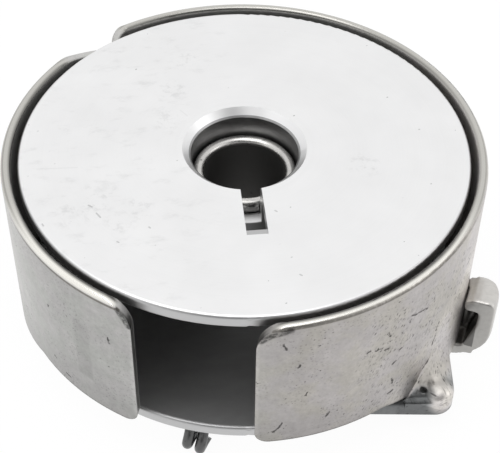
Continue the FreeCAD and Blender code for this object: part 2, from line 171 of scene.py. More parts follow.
# %% A finish under construction
class Finish:
    """A material and the nodes that are added to it."""

    def __init__(self, name, tree=None):
        if tree is None:
            self.material = bpy.data.materials.new(name)
            self.material.use_nodes = True
            tree = self.material.node_tree
        self.tree = tree
        self.tree.nodes.clear()

    def node(self, kind, settings=None, inputs=None, output=0):
        made = self.tree.nodes.new("ShaderNode" + kind)
        for name, value in (settings or {}).items():
            setattr(made, name, value)
        for name, value in (inputs or {}).items():
            if isinstance(value, Wire):
                self.tree.links.new(value.socket, made.inputs[name])
            else:
                made.inputs[name].default_value = value
        return Wire(self, made.outputs[output]) if made.outputs else None

    def vectors(self, operation, *operands, output="Vector"):
        """One Vector Math node on vectors or colours."""
        return self.node("VectorMath", {"operation": operation}, dict(enumerate(operands)), output)

    def scaled(self, vector, amount):
        """A vector or colour times a number."""
        return self.node("VectorMath", {"operation": "SCALE"}, {"Vector": vector, "Scale": amount})

    def place(self):
        """Where a point lies on the piece, in millimetres."""
        return self.scaled(self.node("TexCoord", output="Object"), 1.0 / MM)

    def parts(self, vector):
        """The three numbers of a vector."""
        first = self.node("SeparateXYZ", None, {0: vector})
        return first, first.other(1), first.other(2)

    def vector(self, x, y, z=0.0):
        return self.node("CombineXYZ", None, {0: x, 1: y, 2: z})

    def step(self, value, low, high, start=0.0, end=1.0):
        """Goes smoothly from start to end as value goes from low to high."""
        inputs = {"Value": value, "From Min": low, "From Max": high, "To Min": start, "To Max": end}
        return self.node("MapRange", {"interpolation_type": "SMOOTHSTEP"}, inputs)

    def between(self, value, low, high, soft):
        """One between low and high, fading to nothing over a soft width outside them."""
        return self.step(value, low - soft, low) * self.step(value, high + soft, high)

    def noise(self, vector, scale, detail=2.0, roughness=0.5):
        inputs = {"Vector": vector, "Scale": scale, "Detail": detail, "Roughness": roughness}
        return self.node("TexNoise", None, inputs)

    def mix(self, mask, plain, marked):
        """Colour that goes from plain to marked as the mask goes from 0 to 1."""
        settings = {"data_type": "RGBA", "clamp_factor": True}
        return self.node("Mix", settings, {0: mask, 6: plain, 7: marked}, output=2)

    def surface(self, tint, tone, roughness, metallic=1.0, normal=None):
        """Closes the finish with a metal shader and returns its material."""
        inputs = {"Base Color": self.scaled(tint, tone), "Roughness": roughness, "Metallic": metallic}
        if normal is not None:
            inputs["Normal"] = normal
        shader = self.node("BsdfPrincipled", None, inputs)
        self.node("OutputMaterial", None, {"Surface": shader})
        return self.material


print("finish builder ready")

# %% [markdown]
# ## Marks that wear leaves
# The plated wall is dotted with short dark pits that mostly lie in one slanting direction, and with a few
# longer scratches. Pits come from a Voronoi texture: every cell has one point, the distance to it makes a
# dot, and the cell's random colour decides whether the dot is there at all, how large it is and how deep.
# Squeezing the coordinates first turns the dots into dashes. Scratches that sit in one known place are
# drawn as short strokes, by the distance of a point from a line. Crowds of pits are drawn round known
# spots.

# %% Pits, strokes and crowds
FAINTEST = 0.45


def pits(finish, along, across, slant, spacing, length, share, size):
    """Mask of short dashes on a surface with two coordinates in millimetres."""
    turn = math.radians(slant)
    first = (along * math.cos(turn) + across * math.sin(turn)) / (spacing * length)
    second = (across * math.cos(turn) - along * math.sin(turn)) / spacing
    inputs = {"Vector": finish.vector(first, second), "Scale": 1.0}
    distance = finish.node("TexVoronoi", {"voronoi_dimensions": "2D"}, inputs, "Distance")
    here, big, deep = finish.parts(distance.other("Color"))
    reach = size[0] + (size[1] - size[0]) * big
    dot = finish.step(distance / reach, 0.4, 1.0, 1.0, 0.0)
    chosen = finish.step(here, 1.0 - share, 1.02 - share)
    return dot * chosen * finish.step(deep, 0.0, 1.0, FAINTEST, 1.0)


def strokes(finish, along, across, marks, width):
    """Mask of straight scratches, each from a start to an end, in millimetres."""
    point = finish.vector(along, across)
    total = None
    for start, end in marks:
        run = Vector((end[0] - start[0], end[1] - start[1], 0.0))
        away = finish.vectors("SUBTRACT", point, (start[0], start[1], 0.0))
        share = finish.vectors("DOT_PRODUCT", away, tuple(run / run.length_squared), output="Value")
        nearest = finish.scaled(tuple(run), share.largest(0.0).smallest(1.0))
        distance = finish.vectors("DISTANCE", away, nearest, output="Value")
        mask = finish.step(distance, 0.25 * width, 0.65 * width, 1.0, 0.0)
        total = mask if total is None else total.largest(mask)
    return total


def crowds(finish, along, across, spots, reach):
    """Mask that is strong near each of a few spots and fades over the reach."""
    point = finish.vector(along, across)
    total = None
    for spot in spots:
        distance = finish.vectors("DISTANCE", point, (spot[0], spot[1], 0.0), output="Value")
        mask = finish.step(distance, 0.35 * reach, reach, 1.0, 0.0)
        total = mask if total is None else total.largest(mask)
    return total


print("marks ready")

# %% [markdown]
# ## Plated steel of the case: where things are
# The cup is pressed steel with a satin plating. Its wall is unrolled into a length along it, counted from
# the front, and a height. A few masks say which part of the cup a point belongs to: the rounded rim, the
# lower edge that follows the relief, the edges of the window, the inside, and the position finger that
# stands out beside the wall. The window and the relief are cut into the front only, so their masks stop
# half way round. The floor has no length along a wall, so its clouds are placed by plain coordinates.

# %% Regions of the case
WINDOW_AZIMUTH = math.radians(259.1)
WINDOW_HALF = 4.05
RELIEF_HEIGHT = 2.35
RELIEF_HALF = 12.3
RELIEF_RUN = 2.07
FLOOR_TOP = 1.2
KNOB_LIGHT = (14.35, -12.55, 1.1)
# Spots on the wall where light is painted in to make it paler.
PAINTED_LIGHT_SPOTS = [(13.2, 2.6), (14.2, 3.6), (18.3, 6.2), (19.5, 6.6)]

case = Finish("plated_case_steel")
point = case.place()
x, y, z = case.parts(point)
radius = (x * x + y * y) ** 0.5
along = x.sum_with("ARCTAN2", x, y * -1.0) * CASE_RADIUS
below_top = CASE_TOP - z
aside = abs(y * math.cos(WINDOW_AZIMUTH) - x * math.sin(WINDOW_AZIMUTH))
front = case.step(x * math.cos(WINDOW_AZIMUTH) + y * math.sin(WINDOW_AZIMUTH), 0.0, 2.0)
outside = case.step(radius, CASE_RADIUS - 0.25, CASE_RADIUS - 0.1)
level_run = along * outside + x * (1.0 - outside)
upright_run = z * outside + y * (1.0 - outside)
right = case.step(along, -5.0, 5.0) * case.step(along, 48.0, 28.0)
rim = case.step(below_top + 0.14 * right, 0.38, 0.12)
rim_front = case.step(y, -5.0, -11.0)
wall_foot = RELIEF_HEIGHT - (aside - RELIEF_HALF).largest(0.0) / RELIEF_RUN
# A line of painted shade along the wall's lower edge.
foot_shade_line = case.step(z - wall_foot, 0.04, 0.2, 1.0, 0.0) * outside * front
# A painted highlight along the edges of the window.
window_edge_highlight = case.step(aside - WINDOW_HALF, 0.05, 0.35, 1.0, 0.0) * outside * front
inside = case.step(radius, CASE_RADIUS - 0.5, CASE_RADIUS - 0.62)
inside = inside * case.step(z, FLOOR_TOP - 0.05, FLOOR_TOP + 0.05) * case.step(below_top, 0.1, 0.4)
beside = case.step(radius, CASE_RADIUS + 0.03, CASE_RADIUS + 0.12)
under = case.step(wall_foot - z, 0.05, 0.25) * front * case.step(along, 6.0, 8.0)
under = under * case.step(radius, CASE_RADIUS - 4.0, CASE_RADIUS - 1.0)
# Painted highlight on the finger's knob, round KNOB_LIGHT.
knob = case.step(case.vectors("DISTANCE", point, KNOB_LIGHT, output="Value"), 1.5, 0.8)
# Mask of the finger and of the floor below the wall's foot beside it, which the tone paints darker as
# shade.
shaded_finger = beside.largest(under) * case.step(z, 2.4, 1.4) * (1.0 - knob)
faces_up = case.step(case.parts(case.node("TexCoord", output="Normal"))[2], 0.3, 0.8)
# Painted shade on the top of the tongue, where it faces up.
tongue_top_shade = shaded_finger * case.step(along, 14.9, 13.9) * faces_up
# Painted light: the wall is made paler round a few spots.
painted_light = crowds(case, along, z, PAINTED_LIGHT_SPOTS, 4.0) * outside
print("case regions:", len(case.tree.nodes), "nodes")

# %% [markdown]
# ## Plated steel of the case: wear
# The plating has a dust of tiny faint pits all over. Deeper ones gather in patches, and towards the latch
# they become dense dashes that slant with the hand that cleaned it. Some places are known one by one: a
# long scratch, a few nicks, and small crowds of pits near the lower edges. The left panel also has a faint
# darker patch with straight sides. Dark reflections are painted into the rounded upper corners beside the
# window and into a thin line under the rim, and painted shade goes into a pit beside the finger's knob.
# The dashes thin out towards the back.

# %% Wear of the case
KNOWN_MARKS = [
    ((12.0, 10.95), (13.5, 10.5)), ((11.86, 10.36), (12.06, 10.57)), ((14.25, 3.6), (14.75, 4.05)),
    ((10.02, 10.58), (10.2, 10.16)), ((8.4, 9.5), (8.7, 9.57)), ((2.56, 12.5), (2.76, 12.0)),
    ((10.6, 3.7), (11.05, 3.82)), ((2.1, 3.42), (2.42, 3.7)), ((-9.22, 10.4), (-9.12, 9.85)),
    ((5.7, 4.1), (5.95, 4.5)), ((4.17, 6.92), (4.33, 7.25)), ((19.35, 9.85), (19.52, 10.15)),
    ((15.16, 6.87), (15.41, 7.5)), ((14.95, 5.46), (15.17, 6.23)), ((9.11, 9.33), (9.3, 9.36)),
    ((9.87, 8.95), (10.12, 8.94)), ((10.68, 6.93), (10.93, 7.07)), ((11.16, 8.05), (11.38, 8.1)),
    ((3.55, 9.99), (3.67, 10.26)), ((10.84, 5.26), (10.91, 4.66)), ((2.48, 3.8), (2.67, 4.32)),
    ((-13.75, 3.13), (-13.31, 3.08)), ((-15.0, 9.2), (-14.95, 9.31)), ((-15.0, 3.86), (-14.9, 3.8)),
]
CROWDED = [(2.4, 3.5), (6.0, 4.5), (11.1, 3.9), (8.5, 9.0), (-13.4, 3.2), (-10.3, 5.1)]
# Strokes of painted dark reflection in the rounded upper corners beside the window.
CORNER_DARK_REFLECTIONS = [((1.15, 12.95), (1.75, 13.4)), ((1.75, 13.4), (3.0, 13.7)), ((-7.45, 12.4), (-8.2, 13.6))]
# Centre of the painted shade in the pit beside the finger's knob.
PIT_SHADE_PLACE = (12.72, -12.12, 1.75)

grain = case.noise(point, 3.4, 4.0, 0.65)
mottle = case.noise(case.vector(level_run, upright_run, 9.0), 1.5, 5.0, 0.7)
gather = case.step(case.noise(case.vector(along, z), 0.34, 2.0), 0.40, 0.62)
swarm = case.step(case.noise(case.vector(along + 17.0, z), 0.42, 2.0), 0.30, 0.56)
latch_side = case.step(along, 6.0, 10.0) * case.step(along, 42.0, 22.0) * case.step(below_top, 1.0, 2.2)
dust = pits(case, along + 7.0, z, 15.0, 0.23, 1.2, 0.6, (0.18, 0.40)) * case.step(gather, -0.4, 1.0)
specks = pits(case, along, z, 32.0, 0.44, 1.4, 0.24, (0.09, 0.17)) * gather
dashes = pits(case, along, z, 58.0, 0.27, 2.4, 0.62, (0.13, 0.27)) * swarm * latch_side
hairs = pits(case, along + 9.0, z, 56.0, 0.2, 4.0, 0.6, (0.15, 0.36)) * latch_side
coarse = pits(case, along + 31.0, z, 25.0, 1.7, 1.5, 0.12, (0.035, 0.06))
clusters = pits(case, along, z, 50.0, 0.3, 1.4, 0.6, (0.10, 0.2)) * crowds(case, along, z, CROWDED, 1.1)
wander = 0.6 * (mottle - 0.5)
known = strokes(case, along + wander, z + 0.5 * (grain - 0.5), KNOWN_MARKS, 0.17)
known = known * case.step(grain, 0.36, 0.5, 0.3, 1.0)
marks = specks.largest(dashes).largest(coarse).largest(clusters).largest(known)
on_wall = outside * case.step(below_top, 0.3, 0.6)
marks = marks * on_wall
faint = (0.30 * dust + 0.34 * hairs) * on_wall
# Painted dark reflections in the upper corners beside the window.
corners = strokes(case, along, z, CORNER_DARK_REFLECTIONS, 0.5) * outside * case.step(grain, 0.36, 0.56, 0.4, 1.0)
from_pit = case.vectors("MULTIPLY", case.vectors("SUBTRACT", point, PIT_SHADE_PLACE), (0.8, 1.2, 1.2))
# Painted shade in the pit beside the finger's knob.
pit = case.step(case.vectors("LENGTH", from_pit, output="Value") + wander, 0.45, 0.25) * beside
# A faint darker patch with straight sides on the left panel.
straight_sided_patch = case.between(along, -12.1, -11.0, 0.25) * case.between(z, 5.0, 10.0, 0.5)
print("case wear:", len(case.tree.nodes), "nodes")

# %% [markdown]
# ## Plated steel of the case: colour and gloss
# A metal takes its look from what it mirrors, so the tone is only a mid grey and varies little: soft
# clouds, fine mottles and faint upright lines from drawing. The wall is painted darker near its foot and
# along its lower edge as shade, and paler where it turns away to the sides as a painted reflection. A few
# spots are painted paler. The edges of the window carry a painted highlight, and so does the finger's knob,
# while the finger and the top of its tongue are painted darker as shade. The left panel is neutral, and the
# right one is a little pink, with straw-coloured clouds. The rim is rubbed smooth. Its outer half is cream
# and painted bright as a highlight, most of all at the front, and its inner half, where it curves down to
# the bobbin, is painted dark as a reflection. Thin dark lines under the rim and along its top are painted
# reflections too. Edges catch the light through a Bevel node, which rounds them in the shading only.

# %% Case finish
cloud = case.noise(point, 0.32, 3.0, 0.55)
hue = case.noise(case.vector(level_run, upright_run, 4.0), 0.45, 3.0, 0.6)
drawn = case.noise(case.vector(level_run * 1.8, upright_run * 0.25, radius * 0.2), 1.0, 3.0, 0.6)
straw = case.mix(case.step(hue, 0.40, 0.62), (1.05, 1.0, 0.985, 1.0), (1.05, 1.0, 0.93, 1.0))
ashen = case.mix(case.step(hue, 0.40, 0.62), (1.02, 1.0, 0.985, 1.0), (0.995, 1.0, 0.96, 1.0))
tint = case.mix(right, ashen, straw)
tint = case.mix(shaded_finger, tint, (0.97, 1.0, 1.01, 1.0))
tint = case.mix(rim, tint, (1.02, 1.0, 0.94, 1.0))

# A thin dark line under the rim at the front, a painted reflection.
rim_line_reflection = case.step(abs(below_top - 0.42 + 0.26 * right), 0.05, 0.15, 1.0, 0.0) * outside
rim_line_reflection = rim_line_reflection * case.step(grain, 0.3, 0.55, 0.6, 1.0) * rim_front
# A dark line along the top of the rim at the sides, a painted reflection.
rim_top_reflection = case.step(abs(CASE_RADIUS - 0.17 - radius), 0.03, 0.1, 1.0, 0.0) * rim * (1.0 - rim_front)
tint = case.mix(rim_line_reflection, tint, (1.06, 1.0, 0.92, 1.0))

turned = abs(along)
tone = case.step(along, -6.0, 5.0, 0.425, 0.39) + 0.06 * case.step(along, 2.0, 10.0)
# Painted reflection: the wall is paler where it faces away to the sides.
tone = tone + 0.14 * case.step(turned, 13.0, 22.0)
# Painted shade: the wall is darker towards its foot.
tone = tone * case.step(z, 1.0, 7.5, 0.78, 1.0) * (0.86 + 0.28 * cloud)
tone = tone * (0.78 + 0.44 * mottle) * (0.84 + 0.32 * grain) * (0.95 + 0.10 * drawn)
# Painted light: paler spots and the highlight on the finger's knob.
tone = tone * (1.0 + 0.25 * painted_light) * (1.0 + 0.5 * knob)
# Painted highlight along the window's edges.
tone = tone * (1.0 - 0.12 * straight_sided_patch) * (1.0 + 0.14 * window_edge_highlight) * (1.0 - faint)
# Painted shade along the wall's lower edge and over the finger.
tone = tone * (1.0 - 0.72 * marks) * (1.0 - 0.30 * foot_shade_line) * (1.0 - 0.45 * shaded_finger)
# Painted shade on the tongue's top and in the pit beside the knob.
tone = tone * (1.0 - 0.45 * tongue_top_shade) * (1.0 - 0.85 * pit)
# Painted highlight on the rim's outer half, strongest at the front; its inner half is painted dark as a
# reflection.
inner_half = case.step(radius - 0.2 * rim_front, CASE_RADIUS - 0.72, CASE_RADIUS - 0.42)
rim_highlight_and_shade = 0.10 + (0.44 + 0.34 * rim_front) * inner_half
tone = tone * (1.0 - rim) + rim_highlight_and_shade * rim
# Painted dark reflections under and along the rim and in the upper corners.
tone = tone * (1.0 - 0.58 * rim_line_reflection) * (1.0 - 0.28 * rim_top_reflection) * (1.0 - 0.75 * corners)
tone = tone * (1.0 - inside) + 0.42 * inside

dull = (0.30 + 0.12 * cloud + 0.08 * grain + 0.2 * marks) * (1.0 - rim) + 0.2 * rim + 0.2 * inside
relief = grain * 0.10 + mottle * 0.15 + cloud * 0.4 - marks
soft_edge = case.node("Bevel", {"samples": 6}, {"Radius": 0.16 * MM})
inputs = {"Strength": 0.35, "Distance": 0.05 * MM, "Height": relief, "Normal": soft_edge}
case_finish = case.surface(tint, tone, dull, normal=case.node("Bump", None, inputs))
print("case finish:", len(case.tree.nodes), "nodes")

# %% [markdown]
# ## Turned aluminium of the bobbin: wear
# The bobbin has faint rings from the lathe, soft grey scuffs on one side and tiny dark nicks. Noise makes
# the rings and scuffs, and the nicks that show most are placed one by one. Everything is placed in the
# bobbin's own frame, so the finish turns with it.

# %% Wear of the bobbin
KNOWN_NICKS = [
    ((-9.9, -6.85), (-9.6, -7.25)), ((-10.5, -6.1), (-10.25, -6.25)), ((-8.3, -9.5), (-8.2, -9.56)),
    ((-6.3, -8.12), (-6.22, -8.2)), ((3.62, -12.28), (3.74, -12.36)), ((-13.4, -7.93), (-13.3, -8.1)),
    ((2.08, -6.45), (2.2, -6.53)),
]
HAIRLINES = [((-14.39, -2.55), (-11.63, -2.36)), ((-4.7, 3.9), (-4.2, 3.3))]
SMUDGES = [
    (-10.1, -6.6), (-11.8, -7.1), (-8.3, -7.7), (-7.1, -6.3), (-5.8, 2.8),
    (-5.4, 6.2), (-4.6, 9.8), (8.4, -1.8), (-9.8, -4.6),
]

spool = Finish("turned_aluminium")
point = spool.place()
x, y, z = spool.parts(point)
radius = (x * x + y * y) ** 0.5
cloud = spool.noise(point, 0.22, 3.0, 0.6)
scuffs = spool.noise(spool.vector(x * 0.45 + y * 0.1, y * 0.9 - x * 0.15, z), 1.0, 5.0, 0.68)
rings = spool.noise(spool.vector(radius * 9.0, z * 4.0), 1.0, 2.0, 0.6)
on_top = spool.step(z, BOBBIN_TOP - 0.06, BOBBIN_TOP - 0.02)
nicks = pits(spool, x, y, 30.0, 1.5, 1.6, 0.2, (0.025, 0.05)) * spool.step(cloud, 0.45, 0.55)
known = strokes(spool, x, y, KNOWN_NICKS, 0.13)
hairline = strokes(spool, x, y, HAIRLINES, 0.12)
nicks = nicks.largest(known * 0.6).largest(hairline * 0.12) * on_top
smudges = crowds(spool, x, y, SMUDGES, 1.6) * spool.step(spool.noise(point, 1.3, 5.0, 0.75), 0.48, 0.66)
scuffed = (spool.step(scuffs, 0.52, 0.78) * spool.step(x, 2.0, -6.0)).largest(smudges) * on_top
print("bobbin wear:", len(spool.tree.nodes), "nodes")

# %% [markdown]
# ## Turned aluminium of the bobbin: regions
# The edges of the flanges are painted greyer than the top face, and the step at the end of the slot darker,
# both as shade. The faces round the winding space are duller, since thread and oil have rubbed there, and
# they are painted darker as shade. The bore is painted dark as shade, with paler painted streaks of
# reflection. A flange's edge is a half round, and the imported mesh has long thin triangles on it that
# would show as kinks. Its direction is worked out exactly instead, from the distance to the middle of the
# flange, and takes over where the edge begins.

# %% Regions of the bobbin
SLOT_AZIMUTH = math.radians(276.0)
SLOT_STEP = 8.2
SLOT_LEDGE = 0.55
BORE_RADIUS = 3.95
HUB_RADIUS = 4.8
EDGE_ROUND = 0.28

shaded_flange_side = spool.step(radius, FLANGE_RADIUS - 0.2, FLANGE_RADIUS - 0.08)
low_face = BOBBIN_LOW + FLANGE_THICKNESS
high_face = BOBBIN_TOP - FLANGE_THICKNESS
# The winding space: duller, and painted darker as shade.
shaded_winding_space = spool.between(z, low_face - 0.02, high_face + 0.02, 0.05)
shaded_winding_space = shaded_winding_space * spool.step(radius, HUB_RADIUS - 0.1, HUB_RADIUS - 0.02) * (1.0 - shaded_flange_side)
# Painted shade in the bore.
bore_shade = spool.step(radius, BORE_RADIUS + 0.03, BORE_RADIUS + 0.01)
# Painted streaks of reflection in the bore.
bore_reflection_streaks = spool.noise(spool.vector(x * 0.8, y * 0.8, z * 2.5 + x * 0.8), 1.0, 3.0, 0.6)
out = x * math.cos(SLOT_AZIMUTH) + y * math.sin(SLOT_AZIMUTH)
# Painted shade on the step at the end of the slot.
slot_step_shade = spool.between(out, SLOT_STEP, SLOT_STEP + SLOT_LEDGE, 0.05)
slot_step_shade = slot_step_shade * spool.between(z, BOBBIN_TOP - 0.2, BOBBIN_TOP - 0.1, 0.05)

past_edge = radius - FLANGE_RADIUS + EDGE_ROUND
flange_middles = (low_face - FLANGE_THICKNESS / 2, high_face + FLANGE_THICKNESS / 2)
from_middle = z - spool.step(z, low_face, high_face, *flange_middles)
straight = FLANGE_THICKNESS / 2 - EDGE_ROUND
over = from_middle - from_middle.largest(-straight).smallest(straight)
turned_edge = spool.vector(x / radius * past_edge, y / radius * past_edge, over)
settings = {"vector_type": "NORMAL", "convert_from": "OBJECT", "convert_to": "WORLD"}
turned_edge = spool.node("VectorTransform", settings, {0: spool.vectors("NORMALIZE", turned_edge)})
plain = spool.node("NewGeometry", output="Normal")
on_edge = spool.step(past_edge, 0.0, 0.01)
edge_normal = spool.node("Mix", {"data_type": "VECTOR"}, {0: on_edge, 4: plain, 5: turned_edge}, output=1)
print("bobbin regions:", len(spool.tree.nodes), "nodes")

# %% [markdown]
# ## Turned aluminium of the bobbin: colour and gloss
# The bobbin is bright satin aluminium. Its top face is almost white, because it mirrors the light above
# it. Each region takes over from the bright tone where its mask is one.

# %% Bobbin finish
FLANGE_TONE = 0.85
tone = FLANGE_TONE * (0.95 + 0.10 * cloud) * (1.0 - 0.03 * rings)
tone = tone * (1.0 - 0.12 * scuffed) * (1.0 - 0.5 * nicks) * (1.0 - 0.42 * slot_step_shade)
# Painted shade: the flanges' edges are greyer than the top face.
tone = tone * (1.0 - shaded_flange_side) + shaded_flange_side * (0.46 + 0.10 * cloud)
# Painted shade between the flanges.
tone = tone * (1.0 - shaded_winding_space) + shaded_winding_space * (0.36 + 0.10 * scuffs)
# Painted shade in the bore, with paler painted streaks of reflection.
tone = tone * (1.0 - bore_shade) + bore_shade * (0.22 + 0.26 * bore_reflection_streaks)
dull = 0.30 + 0.10 * cloud + 0.05 * rings + 0.2 * nicks + 0.2 * shaded_winding_space
inputs = {"Strength": 0.25, "Distance": 0.02 * MM, "Height": rings * 0.3 + scuffs * 0.2 - nicks}
inputs["Normal"] = edge_normal
bumps = spool.node("Bump", None, inputs)
spool_finish = spool.surface((1.0, 1.0, 1.003), tone, dull, normal=bumps)
print("bobbin finish:", len(spool.tree.nodes), "nodes")

# %% [markdown]
# ## Steels of the small pieces
# The stud, the latch, the springs and the screws are all bare steel, but each is worked differently. They
# share one recipe: a grey with fine grain, faint lines in the direction of working, and a few dark specks.
# The recipe hands back its tone and its gloss unfinished, so that each piece can still change them where
# it has a dark bore or a face that was cut.

# %% Steel recipe
class Steel:
    """Tone, gloss and relief of a worked steel, before its surface is closed."""

    def __init__(self, name, tone, roughness, stretch, lines):
        finish = Finish(name)
        point = finish.place()
        self.finish = finish
        self.x, self.y, self.z = finish.parts(point)
        self.radius = (self.x * self.x + self.y * self.y) ** 0.5
        grain = finish.noise(point, 2.4, 5.0, 0.6)
        worked = finish.noise(finish.vectors("MULTIPLY", point, stretch), 1.0, 3.0, 0.6)
        level, upright = self.x + self.z * 0.7, self.y + self.z * 0.4
        specks = pits(finish, level, upright, 20.0, 0.7, 1.4, 0.16, (0.05, 0.12))
        self.tone = tone * (0.86 + 0.28 * grain) * (1.0 - lines * finish.step(worked, 0.5, 0.8))
        self.tone = self.tone * (1.0 - 0.55 * specks)
        self.dull = roughness + 0.12 * grain + 0.15 * specks
        self.relief = worked * 0.4 + grain * 0.2 - specks

    def close(self, tint, edge_round=0.1):
        """Closes the surface in a tint, with edges rounded in the shading, and returns the material."""
        edge = self.finish.node("Bevel", {"samples": 6}, {"Radius": edge_round * MM})
        inputs = {"Strength": 0.3, "Distance": 0.02 * MM, "Height": self.relief, "Normal": edge}
        bumps = self.finish.node("Bump", None, inputs)
        return self.finish.surface(tint, self.tone, self.dull, normal=bumps)


print("steel recipe ready")

# %% [markdown]
# ## The stud and the latch
# The stud is turned, so its lines run round it. Its lip is polished by every bobbin that goes over it, the
# outside just under the lip is painted darker as shade, and its bore is painted nearly black as shade. The
# latch is pressed from sheet: the faces that the press left are bright and slightly warm, the faces that it
# cut are darker, and the hollow of the curled tab is painted dark as shade. The cut faces are found by the
# direction that they face in the piece's own frame, which stays the same when the lever flips.

# %% Stud and latch finishes
stud = Steel("stud_steel", 0.58, 0.20, (1.0, 1.0, 7.0), 0.2)
# Painted shade in the stud's bore.
bore_shade = stud.finish.step(stud.radius, STUD_RADIUS - STUD_WALL + 0.12, STUD_RADIUS - STUD_WALL + 0.04)
bore_shade = bore_shade * stud.finish.step(stud.z, STUD_TOP - 0.15, STUD_TOP - 0.5)
# Painted shade on the outside just under the stud's lip.
shoulder_shade = stud.finish.step(stud.radius, STUD_RADIUS - 0.4, STUD_RADIUS - 0.12)
shoulder_shade = shoulder_shade * stud.finish.step(stud.z, STUD_TOP - 1.0, STUD_TOP - 0.6)
stud.tone = stud.tone * (1.0 - 0.45 * shoulder_shade) * (1.0 - bore_shade) + 0.14 * bore_shade
stud.dull = stud.dull + 0.3 * bore_shade
stud_finish = stud.close((1.02, 1.0, 0.97))

TAB_HOLLOW = (17.2, 18.34)
TAB_ROOF = 3.9
latch = Steel("latch_steel", 0.60, 0.26, (1.2, 5.0, 1.2), 0.12)
facing = latch.finish.node("TexCoord", output="Normal")
sideways = (-math.sin(LATCH_AZIMUTH), math.cos(LATCH_AZIMUTH), 0.0)
cut_face = abs(latch.finish.vectors("DOT_PRODUCT", facing, sideways, output="Value"))
cut_face = latch.finish.step(cut_face, 0.5, 0.9)
reach = latch.x * math.cos(LATCH_AZIMUTH) + latch.y * math.sin(LATCH_AZIMUTH)
# Painted shade in the hollow of the curled tab.
hollow = latch.finish.between(reach, TAB_HOLLOW[0], TAB_HOLLOW[1] - 0.02, 0.05)
hollow = hollow * latch.finish.between(latch.z, 0.2, TAB_ROOF - 0.02, 0.05)
latch.tone = latch.tone * (1.0 - 0.38 * cut_face) * (1.0 - 0.62 * hollow)
latch_finish = latch.close((1.025, 1.0, 0.96), 0.3)
print("finishes:", stud_finish.name, latch_finish.name)

# %% [markdown]
# ## Springs, screws and the wire guide
# These small pieces need nothing but the recipe. Spring steel is slightly blue, the screws are neutral,
# and the thread guide is a dark wire.

# %% Finishes of the small pieces
spring_finish = Steel("spring_steel", 0.45, 0.24, (1.0, 1.0, 6.0), 0.2).close((0.98, 1.0, 1.02))
screw_finish = Steel("screw_steel", 0.48, 0.26, (3.0, 3.0, 3.0), 0.15).close((1.0, 1.0, 0.99))
wire_finish = Steel("blackened_wire", 0.12, 0.30, (2.0, 2.0, 2.0), 0.3).close((1.0, 1.0, 1.0))
print("finishes:", spring_finish.name, screw_finish.name, wire_finish.name)

# %% [markdown]
# ## A skin for the finger: its height
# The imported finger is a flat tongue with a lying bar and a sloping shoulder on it. On the real case they
# are pressed from one sheet and flow into one another. A thin skin over them makes that flow. It is a
# height over every point between the wall and the tongue's outline: the highest of the sloping tongue, a
# round knob at its tip, and a hollow curve that runs down from the wall. A soft maximum joins them, so
# every crease becomes a fillet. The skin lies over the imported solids, and a small pit beside the knob
# stands for the hole that the real case has in that corner.

# %% Height of the skin
TONGUE_END, TONGUE_FRONT = 15.1, -12.95
TONGUE_CORNER, TONGUE_EDGE = 1.4, 0.6
KNOB_X, KNOB_Y, KNOB_Z, KNOB_RADIUS = 14.0, -12.0, 0.98, 1.05
HOLLOW_START, HOLLOW_END, HOLLOW_RADIUS = 312.5, 319.0, 3.2
TONGUE_SLOPE = 1.0
PIT_X, PIT_Y, PIT_RADIUS, PIT_DEPTH = 12.78, -12.08, 0.3, 0.3
EDGE_SLOPE = 4.0
SKIN = 0.02
CREASE = 0.8


def tongue_outline(turn):
    """How far the tongue's rounded outline lies from the axis in one direction."""
    ahead, across = math.cos(turn), math.sin(turn)
    corner = Vector((TONGUE_END - TONGUE_CORNER, TONGUE_FRONT + TONGUE_CORNER))
    near = ahead * corner.x + across * corner.y
    spare = TONGUE_CORNER ** 2 - corner.length_squared + near ** 2
    if spare > 0.0:
        reach = near + math.sqrt(spare)
        if reach * ahead > corner.x and reach * across < corner.y:
            return reach
    return min(TONGUE_END / ahead, TONGUE_FRONT / across)


def soft_highest(heights):
    """The highest of some heights, with a fillet where two are nearly equal."""
    total = heights[0]
    for height in heights[1:]:
        share = max(CREASE - abs(total - height), 0.0) / CREASE
        total = max(total, height) + share * share * CREASE / 4
    return total


def skin_height(turn, reach, edge):
    """Height of the skin at a distance from the axis, where the outline is an edge's distance further."""
    drop = max(TONGUE_EDGE - edge, 0.0)
    tongue = FLOOR_TOP - TONGUE_EDGE + math.sqrt(max(TONGUE_EDGE ** 2 - drop ** 2, 0.0))
    tongue = tongue + TONGUE_SLOPE * max(edge - TONGUE_EDGE, 0.0)
    aside = math.hypot(reach * math.cos(turn) - KNOB_X, reach * math.sin(turn) - KNOB_Y)
    knob = KNOB_Z + math.sqrt(max(KNOB_RADIUS ** 2 - aside ** 2, 0.0)) if aside < KNOB_RADIUS else 0.0
    grown = (math.degrees(turn) - HOLLOW_START) / (HOLLOW_END - HOLLOW_START)
    curve = HOLLOW_RADIUS * max(min(grown, 1.0), 0.0)
    inward = max(curve - max(reach - CASE_RADIUS, 0.0), 0.0)
    hollow = FLOOR_TOP + curve - math.sqrt(curve ** 2 - inward ** 2)
    from_pit = math.hypot(reach * math.cos(turn) - PIT_X, reach * math.sin(turn) - PIT_Y) / PIT_RADIUS
    pit = PIT_DEPTH * max(1.0 - from_pit ** 2, 0.0)
    return soft_highest([tongue, min(hollow, FLOOR_TOP + EDGE_SLOPE * edge), knob]) + SKIN - pit


print("knob of the finger", round(KNOB_Z + KNOB_RADIUS + SKIN, 2), "mm high")

# %% [markdown]
# ## A skin for the finger: its mesh
# The mesh is a fan of columns, each one a profile that starts inside the wall and runs outwards. The rows
# lie closer together near the outline, where the edge turns down, and two more points close the side.

